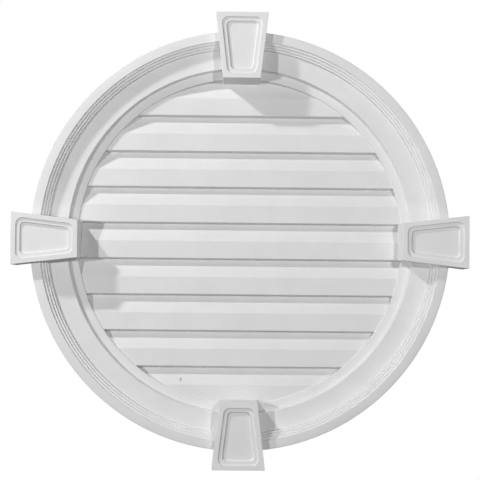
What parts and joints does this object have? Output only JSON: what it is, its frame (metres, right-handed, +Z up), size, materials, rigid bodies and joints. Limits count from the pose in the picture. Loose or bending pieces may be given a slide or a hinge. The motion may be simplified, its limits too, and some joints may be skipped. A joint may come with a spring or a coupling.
{
  "type": "round gable vent",
  "caption": "Closed round louvred gable vent: a stepped ring with keystones on its axes around blind slats, cast in one piece with a flat back that goes to the wall.",
  "frame": {"origin": "centre of the flat back, in the plane of the wall, on the ring's axis", "axes": "+X to the right seen from the front, +Y out of the back into the wall, +Z up; the front faces -Y"},
  "size_m": [0.762, 0.073, 0.762],
  "materials": {
    "primed_polyurethane": "matt white primer on rigid foam"
  },
  "bodies": {
    "root": {"gable_vent": "primed_polyurethane"}
  },
  "joints": []
}
